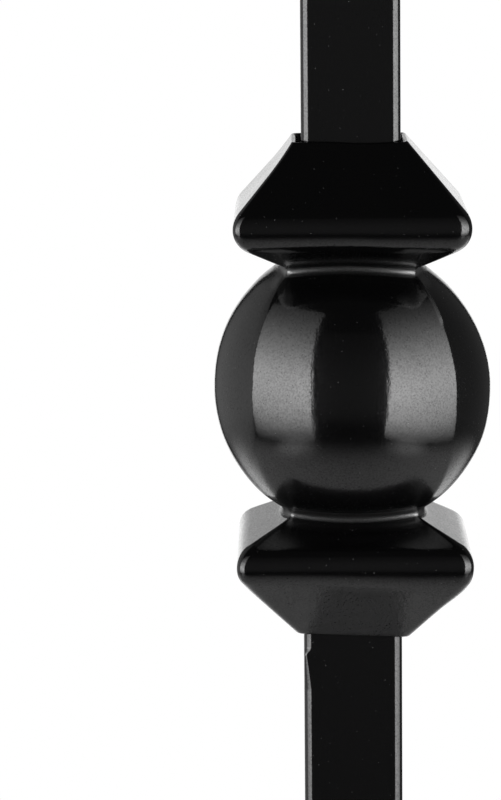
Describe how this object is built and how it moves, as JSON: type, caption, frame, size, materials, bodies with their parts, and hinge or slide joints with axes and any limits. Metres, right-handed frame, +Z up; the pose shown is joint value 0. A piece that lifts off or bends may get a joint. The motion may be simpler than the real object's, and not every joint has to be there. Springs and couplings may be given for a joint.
{
  "type": "stair baluster",
  "caption": "Square metal stair baluster with a turned dowel top and a faceted ball knuckle between flared square collars, in satin black.",
  "frame": {"origin": "centre of the bar's square foot, on the tread", "axes": "+Z up along the bar to the dowel, -Y towards the viewer of the front face, +X to that viewer's right"},
  "size_m": [0.036, 0.036, 1.1176],
  "materials": {
    "satin_black": "satin black powder coat over steel, with a fine orange-peel texture"
  },
  "bodies": {
    "root": {"square_bar": "satin_black", "ball_knuckle": "satin_black"}
  },
  "joints": []
}
